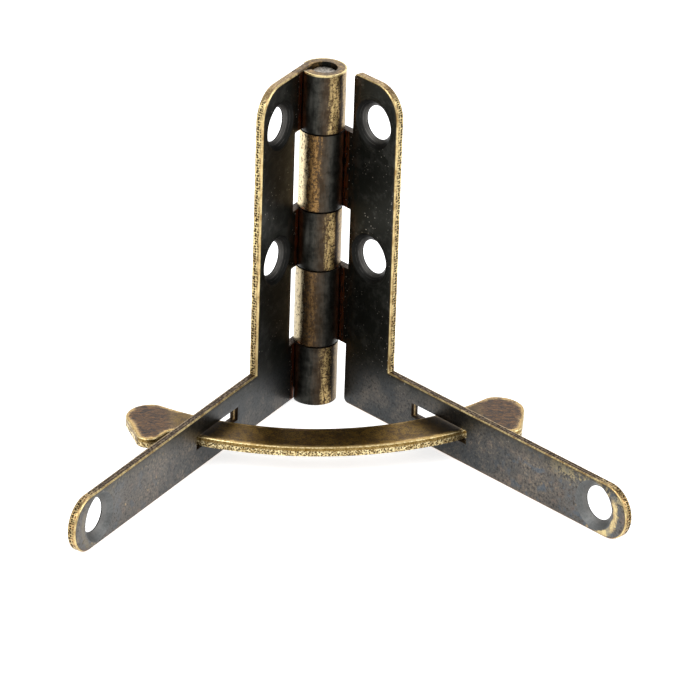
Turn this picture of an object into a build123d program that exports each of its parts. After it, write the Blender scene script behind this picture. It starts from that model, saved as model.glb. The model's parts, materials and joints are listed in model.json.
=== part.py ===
# Quadrant stop hinge for a small wooden box, in millimetres.
# Two L-shaped leaves are stamped and rolled from one sheet each and turn on a plain pin.
# A flat curved stay lies in a slot through both arms, and its broad ends stop the opening.
# Frame: the pin's axis is Z, the lower edges lie on Z = 0, and the leaves open towards -Y.

import os
from math import acos, asin, atan2, cos, degrees, radians, sin, sqrt, tan

from build123d import *

os.makedirs("parts", exist_ok=True)

# Opening between the leaves
rest_opening = 72.0
stop_opening = 85.0

# Sheet, pin and rolled knuckles
sheet = 0.75
pin_diameter = 2.2
pin_clearance = 0.03
pin_recess = 0.35
pin_chamfer = 0.2
seam_gap = 0.08
barrel_length = 30.0
wide_knuckle = 7.0
knuckle_gap = 0.14
edge_break = 0.1

# Leaf outline, from the pin's axis outwards and from the lower edge upwards
plate_width = 7.75
plate_corner = 2.6
arm_height = 4.75
arm_reach = 36.0
notch_clearance = 0.5
notch_corner = 0.45

# Screw holes, countersunk on the inner faces
hole_diameter = 2.9
countersink_diameter = 4.2
countersink_angle = 90
plate_hole_inset = 2.85
upper_hole_drop = 3.75
plate_hole_spacing = 12.1
arm_hole_inset = 3.7

# Slot through each arm
slot_start = 10.7
slot_length = 6.6
slot_bottom = 1.9
slot_height = 1.2

# Stay
stay_thickness = 0.84
stay_width = 3.5
stay_lift = 0.04
stay_arc_centre = 9.5
stay_slot_clearance = 0.12
stop_clearance = 0.12
crown_length = 3.2
paddle_crown = 6.45
paddle_side_tilt = 11.0
paddle_end_radius = 2.2
paddle_heel_radius = 1.0
paddle_crown_radius = 1.2
neck_radius = 0.3

# Sizes that follow from the values above
pin_radius = pin_diameter / 2
inner_radius = pin_radius + pin_clearance
outer_radius = inner_radius + sheet
notch_edge = outer_radius + notch_clearance
narrow_knuckle = (barrel_length - 2 * wide_knuckle) / 3
knuckle_joints = [
    narrow_knuckle,
    narrow_knuckle + wide_knuckle,
    2 * narrow_knuckle + wide_knuckle,
    2 * narrow_knuckle + 2 * wide_knuckle,
]
plate_holes = [
    barrel_length - upper_hole_drop - plate_hole_spacing,
    barrel_length - upper_hole_drop,
]
plate_hole_place = plate_width - plate_hole_inset
arm_hole_place = arm_reach - arm_hole_inset
slot_end = slot_start + slot_length

# Five knuckles from the bottom: the left leaf has the narrow ones, the right leaf the wide ones
left_knuckles = [
    (0, knuckle_joints[0] - knuckle_gap / 2),
    (knuckle_joints[1] + knuckle_gap / 2, knuckle_joints[2] - knuckle_gap / 2),
    (knuckle_joints[3] + knuckle_gap / 2, barrel_length),
]
right_knuckles = [
    (knuckle_joints[0] + knuckle_gap / 2, knuckle_joints[1] - knuckle_gap / 2),
    (knuckle_joints[2] + knuckle_gap / 2, knuckle_joints[3] - knuckle_gap / 2),
]


def leaf_frame(side):
    """Unit vectors of a leaf at rest: along its arm, and out of its inner face."""
    half = radians(rest_opening / 2)
    along = Vector(side * sin(half), -cos(half), 0)
    inward = Vector(-side * cos(half), -sin(half), 0)
    return along, inward


def leaf_plane(side):
    """Sketch plane on a leaf's inner face: X along the arm, Y up the barrel."""
    along, inward = leaf_frame(side)
    return Plane(origin=inward * -inner_radius, x_dir=along, z_dir=inward * side)


def leaf_outline(knuckles):
    """Flat outline of a leaf, with a tab for each knuckle and clearance beside the others."""
    with BuildSketch() as outline:
        with BuildLine():
            Polyline(
                (notch_edge, 0),
                (arm_reach, 0),
                (arm_reach, arm_height),
                (plate_width, arm_height),
                (plate_width, barrel_length),
                (notch_edge, barrel_length),
                close=True,
            )
        make_face()
        arm_tip = outline.vertices().group_by(Axis.X)[-1]
        fillet(arm_tip, arm_height / 2 - 0.001)
        plate_edge = outline.vertices().filter_by(lambda v: abs(v.X - plate_width) < 0.01)
        fillet(plate_edge.sort_by(Axis.Y)[-1], plate_corner)
        inner_corners = outline.vertices().group_by(Axis.X)[0].sort_by(Axis.Y)
        fillet([v for v in inner_corners if not touches_tab(v.Y, knuckles)], notch_corner)
        for low, high in knuckles:
            with Locations((notch_edge / 2, (low + high) / 2)):
                Rectangle(notch_edge + 0.002, high - low)
    return outline.sketch


def edges_at(edges, x, y):
    """The upright edges at a plan position and at its mirror image."""
    return edges.filter_by(lambda edge: abs(abs(edge.center().X) - x) < 0.01 and abs(edge.center().Y - y) < 0.01)


def touches_tab(height, knuckles):
    return any(low - 0.01 <= height <= high + 0.01 for low, high in knuckles)


def knuckle_profile(side):
    """Rolled section: tangent to the outer face, round the pin, back to the inner face."""
    along, inward = leaf_frame(side)
    start = degrees(atan2(-inward.Y, -inward.X))
    seam_angle = degrees(acos(inner_radius / outer_radius) + seam_gap / outer_radius)
    sweep = side * (360 - seam_angle)
    with BuildSketch() as profile:
        with BuildLine():
            outer_curl = CenterArc((0, 0), outer_radius, start, sweep)
            inner_curl = CenterArc((0, 0), inner_radius, start, sweep)
            Line(outer_curl @ 0, inner_curl @ 0)
            Line(outer_curl @ 1, inner_curl @ 1)
        make_face()
    return profile.sketch


def hole_places(side):
    """Planes at the countersinks, each facing out of the inner face."""
    along, inward = leaf_frame(side)
    spots = [(plate_hole_place, height) for height in plate_holes]
    spots.append((arm_hole_place, arm_height / 2))
    places = []
    for out, up in spots:
        origin = along * out + inward * -inner_radius + Vector(0, 0, up)
        places.append(Plane(origin=origin, x_dir=along, z_dir=inward))
    return places


def rim_edges(part, side):
    """Outline edges of both sheet faces, without the tabs that roll into knuckles."""
    along, inward = leaf_frame(side)
    across = Axis((0, 0, 0), tuple(inward))
    flat_faces = part.faces().sort_by(across)
    edges = flat_faces[0].outer_wire().edges() + flat_faces[-1].outer_wire().edges()
    return edges.filter_by(lambda edge: edge.center().dot(along) > notch_edge - 0.01)


# Left leaf: three narrow knuckles, with the pin's ends
with BuildPart() as left_leaf:
    with BuildSketch(leaf_plane(-1)):
        add(leaf_outline(left_knuckles))
        with Locations((slot_start + slot_length / 2, slot_bottom + slot_height / 2)):
            Rectangle(slot_length, slot_height, mode=Mode.SUBTRACT)
    extrude(amount=sheet)
    chamfer(rim_edges(left_leaf, -1), edge_break)
    for low, high in left_knuckles:
        with BuildSketch(Plane.XY.offset(low)):
            add(knuckle_profile(-1))
        extrude(amount=high - low)
    with Locations(*hole_places(-1)):
        CounterSinkHole(hole_diameter / 2, countersink_diameter / 2, sheet, countersink_angle)
left_leaf.part.label = "left_leaf"
export_step(left_leaf.part, "parts/left_leaf.step")

# Right leaf: two wide knuckles between the left leaf's
with BuildPart() as right_leaf:
    with BuildSketch(leaf_plane(1)):
        add(leaf_outline(right_knuckles))
        with Locations((slot_start + slot_length / 2, slot_bottom + slot_height / 2)):
            Rectangle(slot_length, slot_height, mode=Mode.SUBTRACT)
    extrude(amount=-sheet)
    chamfer(rim_edges(right_leaf, 1), edge_break)
    for low, high in right_knuckles:
        with BuildSketch(Plane.XY.offset(low)):
            add(knuckle_profile(1))
        extrude(amount=high - low)
    with Locations(*hole_places(1)):
        CounterSinkHole(hole_diameter / 2, countersink_diameter / 2, sheet, countersink_angle)
right_leaf.part.label = "right_leaf"
export_step(right_leaf.part, "parts/right_leaf.step")

# Plain pin through all five knuckles, a little short of both ends of the barrel
with BuildPart() as hinge_pin:
    with BuildSketch(Plane.XY.offset(pin_recess)):
        Circle(pin_radius)
    extrude(amount=barrel_length - 2 * pin_recess)
    pin_ends = hinge_pin.edges().filter_by(GeomType.CIRCLE)
    chamfer(pin_ends, pin_chamfer)
hinge_pin.part.label = "hinge_pin"
export_step(hinge_pin.part, "parts/hinge_pin.step")

# Stay: a flat curved strip that clears both slots over the whole travel. Its shoulders lie
# parallel to the arms' outer faces at the stop, a small clearance behind them.
stop_half = radians(stop_opening / 2)
shoulder_offset = outer_radius + stop_clearance
shoulder_top_out = slot_end - stay_slot_clearance
shoulder_x = shoulder_top_out * sin(stop_half) + shoulder_offset * cos(stop_half)
shoulder_y = -shoulder_top_out * cos(stop_half) + shoulder_offset * sin(stop_half)
stay_outer_radius = sqrt(shoulder_x**2 + (stay_arc_centre - shoulder_y) ** 2)
stay_inner_radius = stay_outer_radius - stay_width
crown_x = sqrt(stay_inner_radius**2 - (stay_arc_centre + paddle_crown) ** 2)
paddle_half_span = crown_x + crown_length
side_slope = tan(radians(paddle_side_tilt))
side_foot = paddle_half_span + side_slope * paddle_crown
heel_y = (shoulder_offset - side_foot * cos(stop_half)) / (sin(stop_half) + side_slope * cos(stop_half))
heel_x = side_foot + side_slope * heel_y
stay_middle = stay_arc_centre - stay_outer_radius
stay_inner_middle = stay_arc_centre - stay_inner_radius
inner_bow = asin(crown_x / stay_inner_radius) / 2
outer_bow = asin(shoulder_x / stay_outer_radius) / 2

with BuildPart() as stay:
    with BuildSketch(Plane.XY.offset(slot_bottom + stay_lift)):
        with BuildLine():
            ThreePointArc(
                (0, stay_inner_middle),
                (stay_inner_radius * sin(inner_bow), stay_arc_centre - stay_inner_radius * cos(inner_bow)),
                (crown_x, -paddle_crown),
            )
            Polyline(
                (crown_x, -paddle_crown),
                (paddle_half_span, -paddle_crown),
                (heel_x, heel_y),
                (shoulder_x, shoulder_y),
            )
            ThreePointArc(
                (shoulder_x, shoulder_y),
                (stay_outer_radius * sin(outer_bow), stay_arc_centre - stay_outer_radius * cos(outer_bow)),
                (0, stay_middle),
            )
            Line((0, stay_middle), (0, stay_inner_middle))
        make_face()
        mirror(about=Plane.YZ)
    extrude(amount=stay_thickness)
    corner_edges = stay.edges().filter_by(Axis.Z)
    fillet(edges_at(corner_edges, heel_x, heel_y), paddle_heel_radius)
    fillet(edges_at(corner_edges, paddle_half_span, -paddle_crown), paddle_end_radius)
    fillet(edges_at(corner_edges, crown_x, -paddle_crown), paddle_crown_radius)
    fillet(edges_at(corner_edges, shoulder_x, shoulder_y), neck_radius)
    chamfer(stay.faces().sort_by(Axis.Z)[-1].outer_wire().edges(), edge_break)
stay.part.label = "stay"
export_step(stay.part, "parts/stay.step")
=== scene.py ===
import json
from math import cos, radians, sin

import bpy
from mathutils import Matrix, Vector
from mathutils.kdtree import KDTree

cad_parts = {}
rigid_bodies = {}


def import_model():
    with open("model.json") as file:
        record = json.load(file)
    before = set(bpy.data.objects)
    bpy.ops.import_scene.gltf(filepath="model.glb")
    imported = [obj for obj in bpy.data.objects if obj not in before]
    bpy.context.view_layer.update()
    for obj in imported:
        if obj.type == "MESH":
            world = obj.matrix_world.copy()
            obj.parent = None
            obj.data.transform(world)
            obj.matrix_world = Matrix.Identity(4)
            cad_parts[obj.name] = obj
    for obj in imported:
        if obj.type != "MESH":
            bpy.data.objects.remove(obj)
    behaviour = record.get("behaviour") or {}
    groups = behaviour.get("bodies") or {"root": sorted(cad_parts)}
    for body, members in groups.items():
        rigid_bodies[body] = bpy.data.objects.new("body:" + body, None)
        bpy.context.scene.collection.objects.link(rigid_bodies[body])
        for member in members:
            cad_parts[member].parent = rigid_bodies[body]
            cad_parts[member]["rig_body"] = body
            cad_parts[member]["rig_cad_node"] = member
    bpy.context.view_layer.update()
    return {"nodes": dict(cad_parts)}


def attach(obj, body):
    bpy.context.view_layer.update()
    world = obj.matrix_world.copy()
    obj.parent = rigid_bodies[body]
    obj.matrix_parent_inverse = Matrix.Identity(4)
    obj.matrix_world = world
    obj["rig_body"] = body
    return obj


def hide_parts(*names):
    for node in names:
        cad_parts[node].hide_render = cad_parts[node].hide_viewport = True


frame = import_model()
print("frame loaded:", sorted(frame["nodes"]))

millimetres = 1000  # in a metre, which is what Blender and the frame count in


# camera, floor and light

cameraPlan = {
    "turn": 6.965,        # degrees round the pin from straight in front
    "height": 26.017,     # degrees above the floor
    "roll": 0.033,        # radians
    "aim": (2.015, -0.246, 5.23),  # millimetres
    "distance": 519.44,
    "lens": 329.4,
    "sensor": 36,
    "clip": (0.01, 20),
}


def addCamera(plan):
    turn = radians(plan["turn"])
    rise = radians(plan["height"])
    forward = Vector((sin(turn) * cos(rise), cos(turn) * cos(rise), -sin(rise)))
    right = Vector((cos(turn), -sin(turn), 0))
    up = right.cross(forward)
    xAxis = right * cos(plan["roll"]) + up * sin(plan["roll"])
    yAxis = up * cos(plan["roll"]) - right * sin(plan["roll"])
    bpy.ops.object.camera_add()
    camera = bpy.context.object
    camera.name = "productCamera"
    turned = Matrix((xAxis, yAxis, -forward)).transposed().to_4x4()
    place = (Vector(plan["aim"]) - forward * plan["distance"]) / millimetres
    camera.matrix_world = Matrix.Translation(place) @ turned
    camera.data.sensor_width = plan["sensor"]
    camera.data.lens = plan["lens"]
    camera.data.clip_start, camera.data.clip_end = plan["clip"]
    bpy.context.scene.camera = camera


# A wire is one output of a node, so that shader maths reads as plain sums.
class Wire:
    def __init__(self, tree, socket=None):
        self.tree = tree
        self.socket = socket

    def plug(self, value, target):
        if isinstance(value, Wire):
            self.tree.links.new(value.socket, target)
        else:
            target.default_value = value

    def make(self, kind, output=0, inputs=None, **choices):
        node = self.tree.nodes.new(kind)
        for name, value in choices.items():
            setattr(node, name, value)
        for place, value in (inputs or {}).items():
            self.plug(value, node.inputs[place])
        return Wire(self.tree, node.outputs[output])

    def maths(self, operation, first, second=0.0):
        return self.make("ShaderNodeMath", inputs={0: first, 1: second}, operation=operation)

    def __add__(self, other):
        return self.maths("ADD", self, other)

    def __radd__(self, other):
        return self.maths("ADD", other, self)

    def __sub__(self, other):
        return self.maths("SUBTRACT", self, other)

    def __rsub__(self, other):
        return self.maths("SUBTRACT", other, self)

    def __mul__(self, other):
        return self.maths("MULTIPLY", self, other)

    def __rmul__(self, other):
        return self.maths("MULTIPLY", other, self)

    def __truediv__(self, other):
        return self.maths("DIVIDE", self, other)

    def __rtruediv__(self, other):
        return self.maths("DIVIDE", other, self)

    def __neg__(self):
        return self.maths("MULTIPLY", self, -1.0)

    def __abs__(self):
        return self.maths("ABSOLUTE", self)

    # 0 below the first place and 1 above the second, smooth between
    def rise(self, low, high):
        return self.make(
            "ShaderNodeMapRange", inputs={0: self, 1: low, 2: high}, interpolation_type="SMOOTHSTEP"
        )

    def fall(self, low, high):
        return 1.0 - self.rise(low, high)

    # up between the first two places and down again between the last two
    def between(self, low, full, stillFull, high):
        return self.rise(low, full) * self.fall(stillFull, high)

    def most(self, other):
        return self.maths("MAXIMUM", self, other)

    def least(self, other):
        return self.maths("MINIMUM", self, other)

    # a cloud turned into a shift to both sides of nothing
    def sway(self, width):
        return (self - 0.5) * width

    # this wire is the factor between two colours
    def colours(self, first, second):
        return self.make("ShaderNodeMix", output=2, inputs={0: self, 6: first, 7: second}, data_type="RGBA")


def cloud(place, scale, detail=3.0, rough=0.5, twist=0.0):
    inputs = {"Vector": place, "Scale": scale, "Detail": detail, "Roughness": rough, "Distortion": twist}
    return place.make("ShaderNodeTexNoise", inputs=inputs)


def dots(place, scale):
    return place.make("ShaderNodeTexVoronoi", inputs={"Vector": place, "Scale": scale, "Randomness": 1.0})


def stretched(place, scales):
    return place.make("ShaderNodeMapping", inputs={"Vector": place, "Scale": scales})


def attribute(wire, name):
    return wire.make("ShaderNodeAttribute", output=2, attribute_name=name)


def axisOf(place, number):
    return place.make("ShaderNodeSeparateXYZ", output=number, inputs={0: place})


def lengthOf(first, second):
    return first.maths("SQRT", first * first + second * second)


# the point on the piece in millimetres, turned round the pin if asked
def inMillimetres(wire, turn=0.0):
    objectPlace = wire.make("ShaderNodeTexCoord", output="Object")
    inputs = {"Vector": objectPlace, "Rotation": (0, 0, turn), "Scale": (millimetres,) * 3}
    return wire.make("ShaderNodeMapping", inputs=inputs)


# distance from the middle of the nearest pit, on a strip laid out flat
def pitRows(run, across, scatter):
    strip = run.make("ShaderNodeCombineXYZ", inputs={0: run, 1: across, 2: 0.0})
    inputs = {"Vector": strip, "Scale": 1.0, "Randomness": scatter}
    return run.make("ShaderNodeTexVoronoi", voronoi_dimensions="2D", inputs=inputs)


def newFinish(name):
    material = bpy.data.materials.new(name)
    material.use_nodes = True
    tree = material.node_tree
    tree.nodes.clear()
    shader = tree.nodes.new("ShaderNodeBsdfPrincipled")
    output = tree.nodes.new("ShaderNodeOutputMaterial")
    tree.links.new(shader.outputs[0], output.inputs[0])
    return material, Wire(tree), shader


def finishMetal(wire, shader, colour, roughness, relief, strength=0.45, depth=0.02):
    wire.plug(colour, shader.inputs["Base Color"])
    shader.inputs["Metallic"].default_value = 1.0
    wire.plug(roughness, shader.inputs["Roughness"])
    inputs = {"Strength": strength, "Distance": depth / millimetres, "Height": relief}
    wire.plug(wire.make("ShaderNodeBump", inputs=inputs), shader.inputs["Normal"])


lightPlan = {
    "worldFill": 0.75,
    "floorGlow": 0.74,
    "floorSize": 3.0,
    "floorDrop": 0.02,  # millimetres under the part
    "paper": [(0.88, 0.88, 0.88, 1), (0.92, 0.92, 0.92, 1)],
    "paperTooth": 400.0,
    "paperRoughness": 0.95,
    "paperGloss": 0.1,
    "boxes": [
        # name, place, watts, width in metres
        ("keyBox", (-0.35, -0.25, 0.42), 1.5, 0.30),
        ("fillBox", (0.42, -0.20, 0.30), 0.9, 0.28),
        ("backBox", (0.05, 0.40, 0.38), 0.8, 0.34),
    ],
}


# 1 for what the camera sees, straight or in metal or glass, and 0 for what lights the part
def seenBackground(tree):
    ray = tree.nodes.new("ShaderNodeLightPath")
    camera, glossy, glass = (
        Wire(tree, ray.outputs[f"Is {kind} Ray"]) for kind in ("Camera", "Glossy", "Transmission")
    )
    return camera.most(glossy).most(glass)


def addFloor(plan):
    bpy.ops.object.select_all(action="DESELECT")
    bpy.ops.mesh.primitive_plane_add(size=plan["floorSize"], location=(0, 0, 0))
    floor = bpy.context.object
    floor.name = "paleFloor"
    for corner in floor.data.vertices:
        corner.co.z = -plan["floorDrop"] / millimetres
    material, wire, shader = newFinish("palePaper")
    tooth = cloud(wire.make("ShaderNodeTexCoord", output="Object"), plan["paperTooth"])
    wire.plug(tooth.colours(*plan["paper"]), shader.inputs["Base Color"])
    shader.inputs["Roughness"].default_value = plan["paperRoughness"]
    shader.inputs["Specular IOR Level"].default_value = plan["paperGloss"]
    glow = (plan["floorGlow"],) * 3 + (1,)
    wire.plug(seenBackground(wire.tree).colours((0, 0, 0, 1), glow), shader.inputs["Emission Color"])
    shader.inputs["Emission Strength"].default_value = 1.0
    floor.data.materials.append(material)


def addLight(plan):
    world = bpy.data.worlds.new("whiteRoom")
    bpy.context.scene.world = world
    world.use_nodes = True
    tree = world.node_tree
    tree.nodes.clear()
    sky = tree.nodes.new("ShaderNodeBackground")
    output = tree.nodes.new("ShaderNodeOutputWorld")
    tree.links.new(sky.outputs[0], output.inputs[0])
    sky.inputs[0].default_value = (1, 1, 1, 1)
    seen = seenBackground(tree)
    seen.plug(seen * (1.0 - plan["worldFill"]) + plan["worldFill"], sky.inputs[1])

    for name, place, watts, width in plan["boxes"]:
        bpy.ops.object.light_add(type="AREA", location=place)
        lamp = bpy.context.object
        lamp.name = name
        lamp.data.energy = watts
        lamp.data.size = width
        lamp.rotation_euler = (-Vector(place)).to_track_quat("-Z", "Y").to_euler()


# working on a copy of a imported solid; lengths in millimetres, angles in degrees
meshPlan = {
    "weld": 0.001,
    "flat": 0.5,
    "sharp": 30,
    "pointStep": 0.12,
    "bevelFrom": 35,
    "bevelSegments": 2,
    "smoothUpTo": 32,
    "rimReach": 2.0,
}


def copyOfNode(nodeName, pieceName):
    bpy.ops.object.select_all(action="DESELECT")
    node = frame["nodes"][nodeName]
    node.select_set(True)
    bpy.context.view_layer.objects.active = node
    bpy.ops.object.duplicate()
    piece = bpy.context.view_layer.objects.active
    piece.name = pieceName
    piece.data.name = pieceName
    piece.parent = None
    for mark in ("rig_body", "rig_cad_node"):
        if mark in piece:
            del piece[mark]
    piece.data.materials.clear()
    bpy.ops.object.mode_set(mode="EDIT")
    bpy.ops.mesh.select_all(action="SELECT")
    bpy.ops.mesh.remove_doubles(threshold=meshPlan["weld"] / millimetres)
    bpy.ops.mesh.dissolve_limited(angle_limit=radians(meshPlan["flat"]))
    bpy.ops.object.mode_set(mode="OBJECT")
    return piece


# points along the sharp edges, in millimetres, taken before they are rounded
def sharpPoints(piece):
    mesh = piece.data
    facesAt = {}
    for face in mesh.polygons:
        for key in face.edge_keys:
            facesAt.setdefault(key, []).append(face.normal.copy())
    points = []
    for (first, second), normals in facesAt.items():
        if len(normals) == 2 and normals[0].angle(normals[1], 0) < radians(meshPlan["sharp"]):
            continue
        start = mesh.vertices[first].co * millimetres
        end = mesh.vertices[second].co * millimetres
        steps = max(1, int((end - start).length / meshPlan["pointStep"]))
        points += [start.lerp(end, i / steps) for i in range(steps + 1)]
    return points


def roundEdges(piece, width):
    soften = piece.modifiers.new("soften", "BEVEL")
    soften.width = width / millimetres
    soften.segments = meshPlan["bevelSegments"]
    soften.limit_method = "ANGLE"
    soften.angle_limit = radians(meshPlan["bevelFrom"])
    bpy.context.view_layer.objects.active = piece
    bpy.ops.object.modifier_apply(modifier="soften")


# rows of points for the marks to lie on
def sliceAlong(piece, direction, first, last, step):
    bpy.context.view_layer.objects.active = piece
    bpy.ops.object.mode_set(mode="EDIT")
    place = first
    while place < last:
        bpy.ops.mesh.select_all(action="SELECT")
        bpy.ops.mesh.bisect(plane_co=direction * place / millimetres, plane_no=direction)
        place += step
    bpy.ops.object.mode_set(mode="OBJECT")


# how far each point is from the sharp edges
def markRims(piece, points):
    tree = KDTree(len(points))
    for i, point in enumerate(points):
        tree.insert(point, i)
    tree.balance()
    rim = piece.data.attributes.new("rim", "FLOAT", "POINT")
    for i, vertex in enumerate(piece.data.vertices):
        rim.data[i].value = min(tree.find(vertex.co * millimetres)[2], meshPlan["rimReach"])


def markFaces(piece, name, valueOf):
    mark = piece.data.attributes.new(name, "FLOAT", "FACE")
    for i, face in enumerate(piece.data.polygons):
        mark.data[i].value = valueOf(face.center * millimetres, face.normal)


def smoothOver(piece):
    bpy.ops.object.select_all(action="DESELECT")
    piece.select_set(True)
    bpy.context.view_layer.objects.active = piece
    bpy.ops.object.shade_smooth_by_angle(angle=radians(meshPlan["smoothUpTo"]))
    even = piece.modifiers.new("even", "WEIGHTED_NORMAL")
    even.keep_sharp = True
    bpy.ops.object.modifier_apply(modifier="even")


# leaves; places are in millimetres, out along the arm from the pin's axis and up from the lower edges
leafPlan = {
    "halfOpening": 36,
    "outerFace": -1.88,
    "sheet": 0.75,
    "flatStart": 2.3,
    "rounding": 0.035,
    "grid": 0.4,
    "gridOut": (-1.6, 35.9),
    "gridUp": (0.3, 29.8),
    "holes": [(4.9, 26.25), (4.9, 14.15), (32.3, 2.375)],
    "holeReach": 2.2,
    "slot": (10.7, 17.3, 1.9, 3.1),
    # what doesn't count as the outer outline: the knuckles and notches, and round the slot and holes
    "outlineFrom": 2.7,
    "slotMargin": 0.3,
    "holeMarginSquared": 4.9,
    # clouds: scale, detail and roughness, and how the long ones are stretched
    "mottle": (0.35, 5.0, 0.6),
    "patches": (1.4, 4.0, 0.6),
    "grain": (6.0, 3.0, 0.75),
    "sand": (4.2, 2.0, 0.9),
    "brushed": (0.6, 4.0, 7.0),
    "streak": (4.5, 4.5, 0.7),
    # arm
    "armTurnsBrown": (13.0, 27.0),
    "armTurnsTan": (12.0, 20.0),
    "armTurnsSteel": (19.0, 25.0),
    "armTurnsBrassy": (20.0, 26.0),
    "tipShade": (2.6, 4.2),
    "armBlue": (0.048, 0.051, 0.053, 1),
    "armBrown": (0.098, 0.088, 0.078, 1),
    "armRose": (0.165, 0.118, 0.096, 1),
    "armTan": (0.240, 0.195, 0.135, 1),
    "armDark": (0.022, 0.021, 0.019, 1),
    "armSteel": (0.072, 0.096, 0.122, 1),
    "tipBlue": (0.094, 0.098, 0.100, 1),
    # plate; its near black is a painted dark reflection
    "plateFrom": (3.0, 5.6),
    "ringReach": (2.3, 3.0),
    "plateDarkReflection": (0.026, 0.0265, 0.022, 1),
    "plateGrey": (0.062, 0.062, 0.055, 1),
    "plateBrown": (0.085, 0.042, 0.018, 1),
    "seamLine": (1.5, 1.65, 1.95, 2.2),
    "seamRed": (0.380, 0.110, 0.035, 1),
    "speckLine": (1.6, 1.9, 2.4, 2.8),
    "speck": (0.80, 0.74, 0.64, 1),
    # knuckles
    "toDegrees": 57.3,
    "upperHalf": (11.0, 19.0),
    # the darkest knuckle colour is a painted dark reflection
    "knuckleDarkReflection": (0.015, 0.015, 0.013, 1),
    "knuckleGrey": (0.048, 0.047, 0.041, 1),
    "knuckleBrown": (0.085, 0.045, 0.018, 1),
    # edges
    "tipFrom": (31.5, 34.0),
    "plateTopFrom": (10.0, 20.0),
    "barrelTop": (29.6, 29.8),
    "pitsAlong": 4.4,
    "pitsAcross": 3.1,
    "gold": (0.280, 0.172, 0.060, 1),
    "cream": (0.640, 0.520, 0.260, 1),
    "edgeBrown": (0.150, 0.088, 0.036, 1),
    "edgeTan": (0.400, 0.290, 0.150, 1),
    "edgeDark": (0.046, 0.029, 0.016, 1),
    "topTan": (0.125, 0.086, 0.048, 1),
    "tipOrange": (0.420, 0.230, 0.090, 1),
    "footRed": (0.300, 0.150, 0.062, 1),
    "pit": (0.018, 0.010, 0.005, 1),
    # countersinks
    "armConeFrom": (20.0, 24.0),
    "coneBlue": (0.100, 0.102, 0.100, 1),
    "coneLight": (0.145, 0.148, 0.146, 1),
    "coneBlack": (0.012, 0.012, 0.011, 1),
    "wallDark": (0.022, 0.021, 0.020, 1),
    "wallGrey": (0.200, 0.190, 0.178, 1),
}

# wear, and a painted grazing reflection on the barrel, that differ between the leaves; bands are in degrees
# round the pin from the arm's direction
leftWearAndSheen = {
    "knuckles": [(0, 5.263), (12.403, 17.597), (24.737, 30)],
    "paleness": 0.57,
    "band": (40, 60, 70),
    "bandColour": (0.170, 0.105, 0.044, 1),
    "bandLight": (0.500, 0.365, 0.160, 1),
    "far": (82, 92),
    "farSheenColour": (0.360, 0.250, 0.110, 1),
    "farSheenStrength": 0.85,
    "low": 1.0,
    "gilt": 0.12,
}
rightWearAndSheen = {
    "knuckles": [(5.403, 12.263), (17.737, 24.597)],
    "paleness": 0.55,
    "band": (42, 54, 74),
    "bandColour": (0.075, 0.040, 0.015, 1),
    "bandLight": (0.250, 0.145, 0.055, 1),
    "far": (77, 85),
    "farSheenColour": (0.780, 0.650, 0.400, 1),
    "farSheenStrength": 0.95,
    "low": 0.45,
    "gilt": 0.95,
}


def leafDirections(side):
    half = radians(leafPlan["halfOpening"])
    along = Vector((side * sin(half), -cos(half), 0))
    inward = Vector((-side * cos(half), -sin(half), 0))
    return along, inward


# only the outer outline is rubbed bright, not the holes, the slot or the notches
def onOutline(point, along):
    plan = leafPlan
    out = point.dot(along)
    near, far, low, high = plan["slot"]
    margin = plan["slotMargin"]
    if out < plan["outlineFrom"]:
        return False
    if near - margin < out < far + margin and low - margin < point.z < high + margin:
        return False
    return all((out - x) ** 2 + (point.z - z) ** 2 > plan["holeMarginSquared"] for x, z in plan["holes"])


def shapeLeaf(nodeName, pieceName, side):
    plan = leafPlan
    along, inward = leafDirections(side)
    piece = copyOfNode(nodeName, pieceName)
    points = [point for point in sharpPoints(piece) if onOutline(point, along)]
    roundEdges(piece, plan["rounding"])
    sliceAlong(piece, along, *plan["gridOut"], plan["grid"])
    sliceAlong(piece, Vector((0, 0, 1)), *plan["gridUp"], plan["grid"])
    markRims(piece, points)

    def cutOf(centre, normal):
        if centre.dot(along) > plan["flatStart"]:
            return 1 - abs(normal.dot(inward))
        return abs(normal.z)

    # the countersinks and bores, but not the flat faces or the knuckles
    def holeOf(centre, normal):
        if abs(normal.dot(inward)) > 0.97 or centre.dot(inward) > -1.0:
            return 0.0
        out = centre.dot(along)
        reach = plan["holeReach"] ** 2
        return float(any((out - x) ** 2 + (centre.z - z) ** 2 < reach for x, z in plan["holes"]))

    markFaces(piece, "cut", cutOf)
    markFaces(piece, "hole", holeOf)
    markFaces(piece, "facingUp", lambda centre, normal: max(normal.z, 0.0))
    smoothOver(piece)
    print(pieceName, "shaped,", len(piece.data.polygons), "faces")
    return piece


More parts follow.
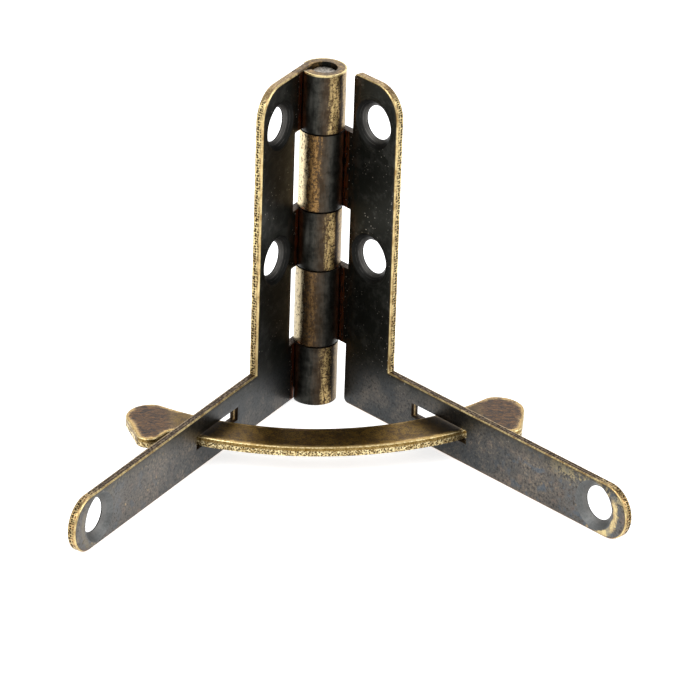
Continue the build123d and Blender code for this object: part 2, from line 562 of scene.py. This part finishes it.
def bronzeLeaf(name, side, wearAndSheen):
    plan = leafPlan
    material, wire, shader = newFinish(name)
    place = inMillimetres(wire, radians(90 - side * plan["halfOpening"]))
    along = axisOf(place, 0)  # out along the arm
    face = axisOf(place, 1) * float(-side)  # towards the inner face
    height = axisOf(place, 2)
    cut, hole, facingUp, rim = (attribute(wire, mark) for mark in ("cut", "hole", "facingUp", "rim"))
    solid = 1.0 - hole

    mottle = cloud(place, *plan["mottle"])
    patches = cloud(place, *plan["patches"])
    grain = cloud(place, *plan["grain"])
    sand = cloud(place, *plan["sand"])
    brushed = cloud(stretched(place, plan["brushed"]), 1.0, 4.0, 0.6)
    streak = cloud(stretched(place, plan["streak"]), 1.0, 4.0, 0.65)
    speckle = grain * 0.7 + patches * 0.3

    upperHole, lowerHole, tipHole = (lengthOf(along - x, height - z) for x, z in plan["holes"])
    plateHole = upperHole.least(lowerHole)
    rings = wire.maths("SINE", plateHole * 26.0).rise(0.3, 1.0) * plateHole.fall(*plan["ringReach"])
    knuckle = along.fall(-0.3, 0.3).most(face.rise(-1.12, -0.95))
    cutFace = cut.rise(0.40, 0.65)
    bevel = cut.rise(0.10, 0.22) * (1.0 - cutFace)
    across = (face - plan["outerFace"]) / plan["sheet"]  # 0 at the outer face, 1 at the inner one
    atTip = along.rise(*plan["tipFrom"])
    plateTop = height.rise(*plan["plateTopFrom"])
    upward = facingUp.rise(0.55, 0.85) * (1.0 - atTip * 0.7)

    # blue-grey near the slot and the hole, browner outwards, with tan and dark grains
    def armFinish():
        outwards = along.rise(*plan["armTurnsBrown"])
        tone = (mottle * 0.8 + grain * 0.2 + outwards * 0.20 - 0.07).rise(0.38, 0.64)
        arm = tone.colours(plan["armBlue"], plan["armBrown"])
        arm = (patches.rise(0.54, 0.68) * outwards * 0.45).colours(arm, plan["armRose"])
        tan = sand.rise(0.53, 0.66) * (0.22 + mottle.rise(0.42, 0.60) * 0.38)
        tan = tan * (0.35 + along.rise(*plan["armTurnsTan"]) * 0.65)
        arm = tan.colours(arm, plan["armTan"])
        arm = (sand.fall(0.34, 0.47) * 0.75).colours(arm, plan["armDark"])
        nearTip = (tipHole + patches.sway(2.0)).fall(*plan["tipShade"])
        arm = (nearTip * sand.rise(0.40, 0.56) * 0.7).colours(arm, plan["tipBlue"])

        # a bright crescent between the hole and the tip, and stains below the top edge
        crescent = (tipHole + patches.sway(0.5)).rise(2.12, 2.26)
        crescent = crescent * (tipHole + sand.sway(0.8)).fall(2.55, 2.85)
        crescent = crescent * (along - height * 0.5 + sand.sway(1.2)).rise(32.2, 32.9)
        stain = height.rise(3.0, 4.2) * along.rise(26.0, 30.0) * (patches + sand).rise(0.96, 1.10) * 0.7
        giltColour = (patches * 0.6 + grain * 0.4).rise(0.42, 0.58).colours(plan["edgeTan"], plan["cream"])
        arm = (crescent.most(stain) * wearAndSheen["gilt"]).colours(arm, giltColour)
        steel = cloud(place, 0.9, 4.0).rise(0.53, 0.64) * along.rise(*plan["armTurnsSteel"]) * 0.55
        arm = (steel * (0.4 + wearAndSheen["gilt"] * 0.6)).colours(arm, plan["armSteel"])
        brassy = dots(place, 1.1).fall(0.10, 0.22) * patches.rise(0.46, 0.60)
        brassy = brassy * along.rise(*plan["armTurnsBrassy"])
        return (brassy * 0.6).colours(arm, plan["edgeTan"])

    # near black with grey clouds, the near black a painted dark reflection that sets the plates apart from
    # the arms in the same plane, faint rings round the holes, browner towards the notches
    def flatFinish(arm):
        plate = (patches * 0.6 + mottle * 0.4).rise(0.46, 0.66)
        plate = plate.colours(plan["plateDarkReflection"], plan["plateGrey"])
        plate = (rings * 0.35).colours(plate, plan["plateGrey"])
        upPlate = (height + patches.sway(2.0)).rise(*plan["plateFrom"])
        # the plates darker than the arms: painted dark reflection
        flat = upPlate.colours(arm, plate)
        brown = along.fall(2.5, 3.8) * upPlate * (patches + streak).rise(0.8, 1.2) * 0.6
        flat = brown.colours(flat, plan["plateBrown"])

        # red in the seams of this leaf's own knuckles, and pale specks, thickest beside the seams
        ownRows = None
        for low, high in wearAndSheen["knuckles"]:
            row = height.between(low - 0.1, low + 0.1, high - 0.1, high + 0.1)
            ownRows = ownRows.most(row) if ownRows else row
        ownRows = ownRows * face.rise(-1.5, -1.3)
        seam = along.between(*plan["seamLine"]) * ownRows
        flat = (seam * streak.rise(0.38, 0.52) * 0.8).colours(flat, plan["seamRed"])
        nearSeam = along.between(*plan["speckLine"]) * ownRows
        drifts = cloud(place, 0.5).rise(0.46, 0.62) * 0.55
        specks = dots(place, 2.9).fall(0.10, 0.20) * drifts.most(nearSeam)
        return (specks * upPlate.most(nearSeam) * 0.8).colours(flat, plan["speck"])

    # dark, the near black a painted reflection of the dark camera side, with worn bands at measured angles
    # round the pin, in upright streaks
    def rolledFinish():
        angle = wire.maths("ARCTAN2", face, along) * plan["toDegrees"]
        angle = angle + streak.sway(34.0) + speckle.sway(30.0)
        bandFrom, bandFull, bandTo = wearAndSheen["band"]
        upper = height.rise(*plan["upperHalf"])
        band = angle.between(bandFrom, bandFull, bandTo, bandTo + 7)
        band = band * (upper * (1 - wearAndSheen["low"]) + wearAndSheen["low"])
        # the far band: worn gold brightened by a painted grazing reflection at the barrel's silhouette
        far = angle.between(*wearAndSheen["far"], 125, 145) * wearAndSheen["farSheenStrength"] * (upper * 0.45 + 0.55)
        back = (-angle).between(60, 90, 120, 150) * 0.6
        rolled = (patches * 0.7 + streak * 0.3).rise(0.36, 0.66)
        # near black where the barrel faces the camera: painted dark reflection, clouded with grey patina
        rolled = rolled.colours(plan["knuckleDarkReflection"], plan["knuckleGrey"])
        rolled = (angle.rise(bandFrom - 30, bandFrom + 8) * 0.38).colours(rolled, plan["knuckleBrown"])
        bandColour = (sand * 0.6 + streak * 0.4).rise(0.43, 0.58)
        bandColour = bandColour.colours(wearAndSheen["bandColour"], wearAndSheen["bandLight"])
        rolled = (band * sand.rise(0.36, 0.50)).colours(rolled, bandColour)
        rolled = (far * (sand * 0.7 + streak * 0.3).rise(0.38, 0.50)).colours(rolled, wearAndSheen["farSheenColour"])
        rolled = (back * speckle.rise(0.36, 0.56)).colours(rolled, plan["gold"])
        return rolled, band

    # sheared gold with rows of dark pits, a dark pitted strip where they face up
    def edgeFinish():
        run = (height - along) * plan["pitsAlong"]
        pits = pitRows(run, across * plan["pitsAcross"], 0.45).fall(0.33, 0.48)
        pits = pits * (across + streak.sway(0.8)).fall(0.60, 0.84).most(upward * 0.9)
        pits = pits * (speckle * 0.5 + streak * 0.5).rise(0.30, 0.44) * (1.0 - upward * plateTop * 0.7)
        pale = streak * 0.5 + patches * 0.5 + (wearAndSheen["paleness"] - 0.5) + height.rise(14.0, 28.0) * 0.10
        edge = pale.rise(0.40, 0.64).colours(plan["gold"], plan["cream"])
        edge = (speckle.fall(0.44, 0.56) * 0.55).colours(edge, plan["edgeBrown"])
        innerSide = across.rise(0.60, 0.85) * patches.rise(0.40, 0.58) * 0.6
        edge = innerSide.colours(edge, plan["tipOrange"])
        edge = (atTip * patches.rise(0.44, 0.58) * 0.5).colours(edge, plan["tipOrange"])
        topEdge = speckle.rise(0.42, 0.60).colours(plan["edgeDark"], plan["topTan"])
        topGold = speckle.rise(0.40, 0.58).colours(plan["edgeBrown"], plan["edgeTan"])
        topEdge = (plateTop * 0.75).colours(topEdge, topGold)
        edge = upward.colours(edge, topEdge)
        edge = (pits * 0.94).colours(edge, plan["pit"])
        border = across.fall(0.18, 0.28).most(across.rise(0.80, 0.90))
        border = border * upward * (speckle + patches).rise(0.76, 0.98)
        edge = (border * (0.60 + wearAndSheen["gilt"] * 0.35)).colours(edge, plan["edgeTan"])
        return edge, pits

    # like the face beside them, with a few turned rings near the bore
    def coneFinish():
        armCone = (mottle * 0.6 + sand * 0.4).rise(0.38, 0.60).colours(plan["coneBlue"], plan["coneLight"])
        cone = along.rise(*plan["armConeFrom"]).colours(plan["coneBlack"], armCone)
        bore = plateHole.least(tipHole)
        cone = (bore.fall(1.50, 1.85) * 0.35).colours(cone, plan["wallGrey"])
        turned = wire.maths("SINE", bore * 34.0 + patches * 2.0).rise(0.55, 1.0) * bore.fall(1.50, 2.15)
        cone = (turned * patches.rise(0.36, 0.58) * 0.42).colours(cone, plan["wallGrey"])
        return (cut.rise(0.5, 0.8) * 0.8).colours(cone, plan["wallDark"])

    rolled, band = rolledFinish()
    colour = knuckle.colours(flatFinish(armFinish()), rolled)

    # red along the lower edges, a dark crown, and painted shade in the notches, the joints and the slot
    edge, pits = edgeFinish()
    foot = height.fall(0.25, 0.45) * (1.0 - knuckle)
    edge = (foot * 0.7).colours(edge, plan["footRed"])
    crown = along.fall(2.2, 2.6) * height.rise(*plan["barrelTop"])
    crownColour = (patches * 0.5 + grain * 0.5).rise(0.45, 0.66).colours(plan["edgeDark"], plan["gold"])
    edge = (crown * 0.85).colours(edge, crownColour)
    near, slotEnd, low, high = plan["slot"]
    slot = along.between(near - 0.3, near - 0.2, slotEnd + 0.2, slotEnd + 0.3)
    slot = slot * height.between(low - 0.3, low - 0.2, high + 0.2, high + 0.3)
    # painted shade on the knuckle ends in the joints, the notch edges and the slot walls
    shadedRecess = (along.fall(2.9, 3.4) * height.fall(*plan["barrelTop"])).most(slot)
    recessShadeColour = (grain * 0.5 + patches * 0.5).rise(0.40, 0.66).colours(plan["pit"], plan["edgeDark"])
    edge = shadedRecess.colours(edge, recessShadeColour)
    slotLine = slot * across.between(0.34, 0.44, 0.56, 0.66) * along.fall(near, near + 0.3)
    edge = (slotLine * 0.9).colours(edge, plan["edgeTan"])
    colour = (cutFace * solid).colours(colour, edge)

    # the bevels between the faces and the cut edges
    line = speckle * 0.4 + streak * 0.4 + patches * 0.2 + (wearAndSheen["paleness"] - 0.5) * 0.4
    line = line.rise(0.40, 0.62).colours(plan["gold"], plan["cream"])
    line = (upward * (1.0 - crown) * speckle.fall(0.44, 0.58) * 0.8).colours(line, plan["edgeBrown"])
    line = (foot * 0.8).colours(line, plan["footRed"])
    line = (slot * 0.6).colours(line, plan["edgeBrown"])
    colour = (bevel * solid * (1.0 - shadedRecess * (1.0 - slot))).colours(colour, line)
    colour = hole.colours(colour, coneFinish())

    # a pale line rubbed round the top of the barrel, and broken gold where the faces meet the outline
    topLine = height.rise(29.82, 29.90) * lengthOf(along, face).rise(1.72, 1.80) * along.fall(2.2, 2.6)
    topLine = topLine * (patches * 0.5 + sand * 0.5).rise(0.38, 0.50)
    topLine = topLine * along.fall(0.1, 0.5).most(face.rise(-1.0, -0.8))
    colour = (topLine * 0.9).colours(colour, plan["cream"])
    rubbedRim = (rim + speckle.sway(0.4)).fall(0.0, 0.12) * (1.0 - cutFace) * (1.0 - bevel)
    colour = (rubbedRim * solid * 0.45).colours(colour, plan["edgeBrown"])

    roughness = 0.29 + grain * 0.16 + pits * cutFace * 0.3 + hole * 0.18
    relief = brushed * 0.2 + grain * 0.7 - pits * cutFace * 1.6 + speckle * band * knuckle * 0.7 + rings * 0.3
    finishMetal(wire, shader, colour, roughness, relief)
    return material


# stay
stayPlan = {
    "rounding": 0.035,
    "grid": 0.35,
    "gridSideways": (-16.4, 16.5),
    "gridDeep": (-15.0, -6.5),
    "bottom": 1.94,
    "thickness": 0.84,
    "paddleFrom": (12.2, 13.4),
    "pitsAlong": 5.4,
    "pitsAcross": 4.0,
    "mottle": (0.8, 5.0, 0.65),
    "grain": (7.5, 3.0, 0.7),
    "patches": (2.2, 4.0, 0.6),
    "strokes": (1.7, 5.2, 1.0),
    "top": (0.090, 0.047, 0.007, 1),
    "topGold": (0.185, 0.108, 0.018, 1),
    "topDark": (0.020, 0.011, 0.003, 1),
    "paddle": (0.098, 0.046, 0.014, 1),
    "paddleGrey": (0.030, 0.017, 0.008, 1),
    "paddleDark": (0.010, 0.005, 0.003, 1),
    "tan": (0.250, 0.165, 0.080, 1),
    "gold": (0.400, 0.270, 0.100, 1),
    "cream": (0.850, 0.720, 0.410, 1),
    "pit": (0.022, 0.012, 0.005, 1),
}


def shapeStay():
    plan = stayPlan
    piece = copyOfNode("stay", "quadrantStay")
    points = sharpPoints(piece)
    roundEdges(piece, plan["rounding"])
    sliceAlong(piece, Vector((1, 0, 0)), *plan["gridSideways"], plan["grid"])
    sliceAlong(piece, Vector((0, 1, 0)), *plan["gridDeep"], plan["grid"])
    markRims(piece, points)
    markFaces(piece, "cut", lambda centre, normal: 1 - abs(normal.z))
    smoothOver(piece)
    print("stay shaped,", len(piece.data.polygons), "faces")
    return piece


def bronzeStay():
    plan = stayPlan
    material, wire, shader = newFinish("rubbedBronzeStay")
    place = inMillimetres(wire)
    sideways = axisOf(place, 0)
    height = axisOf(place, 2)
    outwards = abs(sideways)
    cut = attribute(wire, "cut")
    rim = attribute(wire, "rim")

    mottle = cloud(place, *plan["mottle"])
    grain = cloud(place, *plan["grain"])
    patches = cloud(place, *plan["patches"])
    swirl = cloud(stretched(place, plan["strokes"]), 1.0, 4.0, 0.65, twist=1.3)
    speckle = grain * 0.65 + patches * 0.35
    top = (mottle * 0.5 + patches * 0.2 + grain * 0.3).rise(0.42, 0.58)
    top = top.colours(plan["top"], plan["topGold"])
    # darker towards both ends of the top, most at the +x end: painted shade
    shadedEnds = outwards.rise(4.0, 10.0) * 0.45 + sideways.rise(4.0, 11.0) * 0.35
    top = shadedEnds.colours(top, plan["topDark"])
    top = (speckle.fall(0.42, 0.54) * 0.7).colours(top, plan["topDark"])

    # paddles outside the arms: short curved strokes, tan next to the arm
    paddleMask = outwards.rise(*plan["paddleFrom"])
    paddle = (swirl * 0.75 + grain * 0.25).rise(0.45, 0.56).colours(plan["paddleDark"], plan["paddle"])
    paddle = (patches.rise(0.48, 0.62) * 0.45).colours(paddle, plan["paddleGrey"])
    besideArm = (outwards + patches.sway(2.0)).fall(12.2, 13.2) * swirl.rise(0.36, 0.52)
    paddle = (besideArm * 0.6).colours(paddle, plan["tan"])
    colour = paddleMask.colours(top, paddle)
    wornRim = (rim + speckle.sway(1.4) + mottle.sway(1.6)).fall(0.05, 0.45)
    colour = (wornRim * (0.35 + paddleMask * 0.35)).colours(colour, plan["tan"])
    brightRim = (rim + speckle.sway(0.6) + mottle.sway(0.9)).fall(0.08, 0.26)
    colour = (brightRim * 0.8).colours(colour, plan["gold"])

    # cut edge: a smooth olive gold strip above, torn and pitted brighter gold below
    cutFace = cut.rise(0.40, 0.65)
    bevel = cut.rise(0.10, 0.22) * (1.0 - cutFace)
    up = (height - plan["bottom"]) / plan["thickness"]
    upper = (up + patches.sway(0.3)).rise(0.52, 0.64)
    edge = (speckle * 0.7 + mottle * 0.3).rise(0.40, 0.60).colours(plan["gold"], plan["cream"])
    edge = (speckle.fall(0.44, 0.56) * 0.6).colours(edge, plan["top"])
    edge = (upper * 0.85).colours(edge, speckle.rise(0.38, 0.62).colours(plan["top"], plan["topGold"]))
    pits = pitRows(sideways * plan["pitsAlong"], up * plan["pitsAcross"], 1.0).fall(0.22, 0.42)
    pits = pits * (1.0 - upper) * speckle.rise(0.36, 0.50)
    edge = (pits * 0.92).colours(edge, plan["pit"])
    colour = cutFace.colours(colour, edge)
    colour = (bevel * 0.9).colours(colour, speckle.rise(0.42, 0.60).colours(plan["gold"], plan["cream"]))

    roughness = 0.30 + grain * 0.18 + pits * cutFace * 0.3
    relief = grain * 0.6 + swirl * paddleMask * 1.2 - pits * cutFace * 1.8
    finishMetal(wire, shader, colour, roughness, relief)
    return material


# pin
pinPlan = {
    "rounding": 0.04,
    "grid": 0.3,
    "gridSideways": (-0.9, 1.0),
    "rubbedFrom": (0.92, 1.06),
    "steel": (0.095, 0.088, 0.078, 1),
    # the pale steel is brightened to make up for the shade in the pin's recess: painted light
    "steelPaleWithPaintedLight": (0.330, 0.300, 0.260, 1),
    "rimGold": (0.300, 0.230, 0.130, 1),
}


def shapePin():
    plan = pinPlan
    piece = copyOfNode("hinge_pin", "plainPin")
    roundEdges(piece, plan["rounding"])
    sliceAlong(piece, Vector((1, 0, 0)), *plan["gridSideways"], plan["grid"])
    smoothOver(piece)
    print("pin shaped,", len(piece.data.polygons), "faces")
    return piece


def darkPinSteel():
    plan = pinPlan
    material, wire, shader = newFinish("darkPinSteel")
    place = inMillimetres(wire)
    radius = lengthOf(axisOf(place, 0), axisOf(place, 1))
    grain = cloud(place, 5.0, 4.0, 0.65)
    # dark steel grains, the pale ones brightened as painted light against the recess shade
    colour = grain.rise(0.38, 0.62).colours(plan["steel"], plan["steelPaleWithPaintedLight"])
    worn = (radius + grain.sway(0.25)).rise(*plan["rubbedFrom"])
    colour = (worn * 0.5).colours(colour, plan["rimGold"])
    finishMetal(wire, shader, colour, 0.34 + grain * 0.2, grain, strength=0.4)
    return material


# all together
def fit(piece, material, body, node):
    piece.data.materials.append(material)
    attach(piece, body)
    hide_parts(node)


bpy.context.scene.view_settings.view_transform = "Standard"
addCamera(cameraPlan)
addFloor(lightPlan)
addLight(lightPlan)
print("camera, floor and light placed")

leftLeaf = shapeLeaf("left_leaf", "leftLeafDressed", -1)
rightLeaf = shapeLeaf("right_leaf", "rightLeafDressed", 1)
quadrantStay = shapeStay()
plainPin = shapePin()

leftBronze = bronzeLeaf("rubbedBronzeLeft", -1, leftWearAndSheen)
rightBronze = bronzeLeaf("rubbedBronzeRight", 1, rightWearAndSheen)
fit(leftLeaf, leftBronze, "left_leaf", "left_leaf")
fit(rightLeaf, rightBronze, "right_leaf", "right_leaf")
fit(quadrantStay, bronzeStay(), "stay", "stay")
fit(plainPin, darkPinSteel(), "left_leaf", "hinge_pin")
print("pieces fitted")
